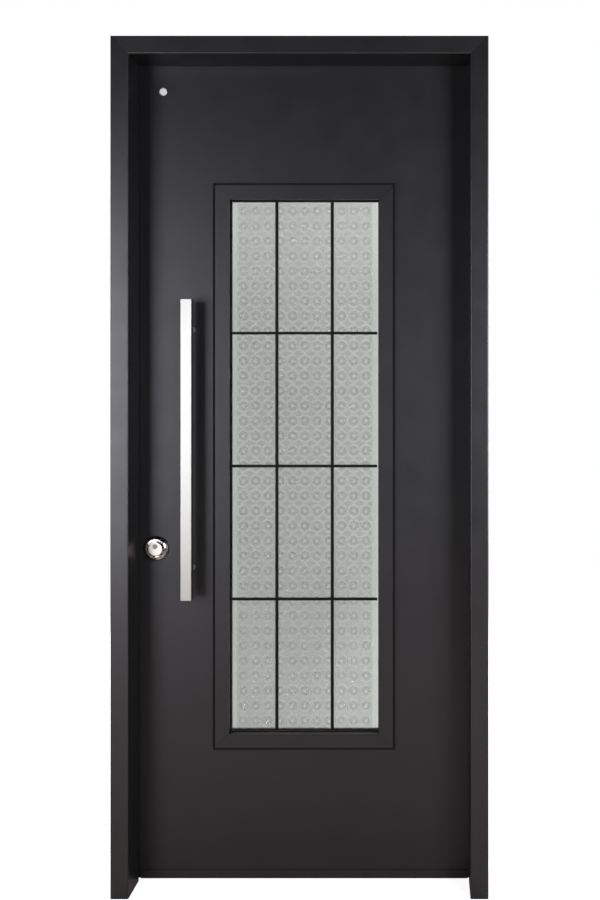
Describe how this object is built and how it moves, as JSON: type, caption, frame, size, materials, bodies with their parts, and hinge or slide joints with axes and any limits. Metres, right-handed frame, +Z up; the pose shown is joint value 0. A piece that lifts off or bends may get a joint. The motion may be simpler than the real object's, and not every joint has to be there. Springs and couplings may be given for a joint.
{
  "type": "security door",
  "caption": "Steel security door leaf in a folded steel frame, with a glazed barred window, pull handle, inside lever, hinges and a geared lock that throws bolts into the frame.",
  "frame": {"origin": "floor level at the middle of the doorway, in the plane of the wall's outside face", "axes": "+X along the doorway towards the hinges, +Y inward through the wall, +Z up"},
  "size_m": [0.94, 0.2, 2.145],
  "materials": {
    "frame_paint": "satin",
    "leaf_paint": "satin",
    "glazing_paint": "satin",
    "grille_paint": "satin",
    "hinge_paint": "satin",
    "seal_rubber": "matte",
    "stainless": "satin",
    "polished_nickel": "polished",
    "zinc_steel": "satin",
    "bearing_brass": "satin",
    "patterned_glass": "gloss",
    "clear_glass": "gloss",
    "spacer_aluminium": "satin",
    "block_plastic": "matte"
  },
  "bodies": {
    "frame": {"frame_lock_jamb": "frame_paint", "frame_hinge_jamb": "frame_paint", "frame_head": "frame_paint", "frame_seals": "seal_rubber", "strike_plates": "zinc_steel", "hinge_bottom_frame_knuckle": "hinge_paint", "hinge_middle_frame_knuckle": "hinge_paint", "hinge_top_frame_knuckle": "hinge_paint", "hinge_pins": "zinc_steel", "hinge_bearings": "bearing_brass"},
    "leaf": {"leaf_outer_skin": "leaf_paint", "leaf_inner_skin": "leaf_paint", "leaf_lock_stile": "zinc_steel", "leaf_hinge_stile": "zinc_steel", "leaf_top_rail": "zinc_steel", "leaf_bottom_rail": "zinc_steel", "window_uprights": "zinc_steel", "window_transoms": "zinc_steel", "hinge_bottom_leaf_knuckle": "hinge_paint", "hinge_middle_leaf_knuckle": "hinge_paint", "hinge_top_leaf_knuckle": "hinge_paint", "hinge_side_studs": "zinc_steel", "drip_bar": "leaf_paint", "bottom_seal": "seal_rubber", "glazing_frame_top": "glazing_paint", "glazing_frame_bottom": "glazing_paint", "glazing_frame_left": "glazing_paint", "glazing_frame_right": "glazing_paint", "inner_glazing_beads": "glazing_paint", "outer_pane": "patterned_glass", "inner_pane": "clear_glass", "pane_spacer": "spacer_aluminium", "glazing_seals": "seal_rubber", "setting_blocks": "block_plastic", "grille_uprights": "grille_paint", "grille_crossbars": "grille_paint", "pull_handle_bar": "stainless", "pull_handle_posts": "stainless", "pull_handle_bolts": "stainless", "lock_rosette": "polished_nickel", "thumbturn_rosette": "stainless", "lever_rosette": "stainless", "cylinder_body": "polished_nickel", "lock_case": "zinc_steel", "lock_case_cover": "zinc_steel", "lock_faceplate": "stainless", "side_bolt_cases": "zinc_steel"},
    "lever": {"lever_handle": "stainless", "lever_spindle": "zinc_steel"},
    "latch": {"latch": "zinc_steel"},
    "cylinder": {"key_plug": "polished_nickel", "drive_gear": "zinc_steel", "thumbturn": "stainless"},
    "main_bolts": {"main_bolts": "zinc_steel", "main_bolt_carriage": "zinc_steel"},
    "upper_rod": {"upper_rod": "zinc_steel"},
    "lower_rod": {"lower_rod": "zinc_steel"},
    "upper_side_bolt": {"upper_side_bolt": "zinc_steel"},
    "lower_side_bolt": {"lower_side_bolt": "zinc_steel"}
  },
  "joints": [
    {"name": "leaf_swing", "type": "hinge", "parent": "frame", "child": "leaf", "pos_m": [0.444, 0.161, 1], "axis": [0, 0, -1], "range_deg": [0, 100]},
    {"name": "lever_turn", "type": "hinge", "parent": "leaf", "child": "lever", "pos_m": [-0.382, 0.126, 0.946], "axis": [0, 1, 0], "range_deg": [0, 40], "stiffness_Nm_per_rad": 2, "springref_deg": -17.19},
    {"name": "latch_slide", "type": "slide", "parent": "leaf", "child": "latch", "axis": [1, 0, 0], "range_m": [0, 0.0121]},
    {"name": "cylinder_turn", "type": "hinge", "parent": "leaf", "child": "cylinder", "pos_m": [-0.382, 0.126, 0.861], "axis": [0, -1, 0], "range_deg": [0, 90]},
    {"name": "main_bolts_slide", "type": "slide", "parent": "leaf", "child": "main_bolts", "axis": [-1, 0, 0], "range_m": [0, 0.0212]},
    {"name": "upper_rod_slide", "type": "slide", "parent": "leaf", "child": "upper_rod", "axis": [0, 0, 1], "range_m": [0, 0.0213]},
    {"name": "lower_rod_slide", "type": "slide", "parent": "leaf", "child": "lower_rod", "axis": [0, 0, -1], "range_m": [0, 0.0213]},
    {"name": "upper_side_bolt_slide", "type": "slide", "parent": "leaf", "child": "upper_side_bolt", "axis": [-1, 0, 0], "range_m": [0, 0.0213]},
    {"name": "lower_side_bolt_slide", "type": "slide", "parent": "leaf", "child": "lower_side_bolt", "axis": [-1, 0, 0], "range_m": [0, 0.0213]}
  ],
  "couplings": [
    {"joint": "latch_slide", "follows": "lever_turn", "m_per_rad": 0.01718},
    {"joint": "cylinder_turn", "follows": "main_bolts_slide", "rad_per_m": 74.074},
    {"joint": "upper_rod_slide", "follows": "main_bolts_slide", "ratio": 1},
    {"joint": "lower_rod_slide", "follows": "main_bolts_slide", "ratio": 1},
    {"joint": "upper_side_bolt_slide", "follows": "main_bolts_slide", "ratio": 1},
    {"joint": "lower_side_bolt_slide", "follows": "main_bolts_slide", "ratio": 1}
  ]
}
